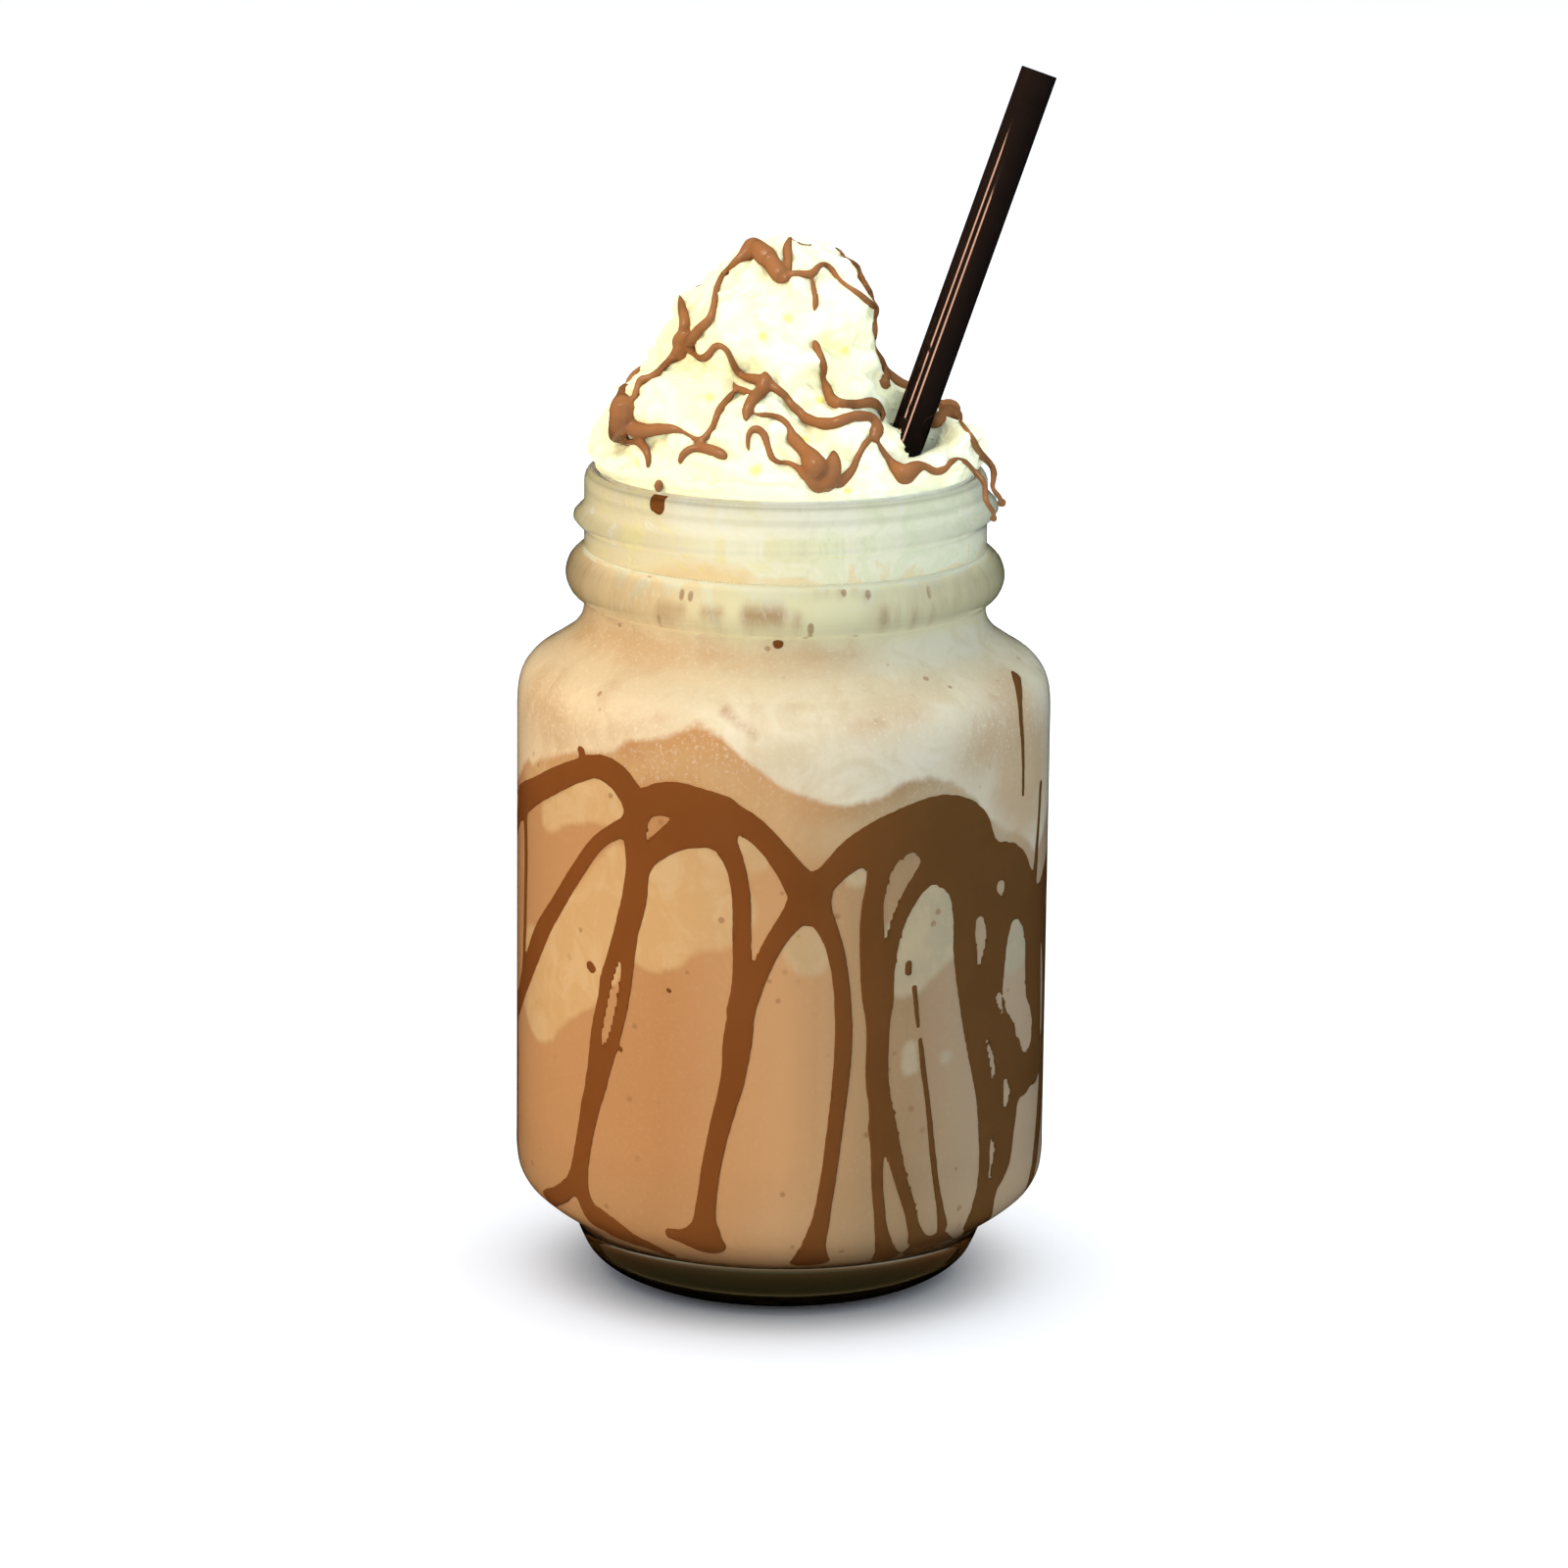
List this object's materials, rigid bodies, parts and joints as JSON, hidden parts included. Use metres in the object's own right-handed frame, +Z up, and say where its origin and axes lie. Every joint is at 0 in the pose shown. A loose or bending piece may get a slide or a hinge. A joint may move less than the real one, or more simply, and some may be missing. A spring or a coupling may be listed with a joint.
{
  "type": "milkshake",
  "caption": "Milkshake in a round clear drinking jar with a screw-thread neck, topped with whipped cream, strands of sauce and a leaning straw.",
  "frame": {"origin": "the jar's axis at the plane of its foot", "axes": "+Z up along the jar's axis, -Y towards the side shown in the picture, +X to the side that the straw leans to"},
  "size_m": [0.0882, 0.0882, 0.2016],
  "materials": {
    "clear_glass": "clear, smooth, slightly green in the thick base",
    "milkshake_drink": "opaque tan drink with froth at the top",
    "cream_and_sauce": "soft white cream with glossy brown strands",
    "black_plastic": "glossy black"
  },
  "bodies": {
    "root": {"jar": "clear_glass", "milkshake": "milkshake_drink", "whipped_cream": "cream_and_sauce", "straw": "black_plastic"}
  },
  "joints": []
}
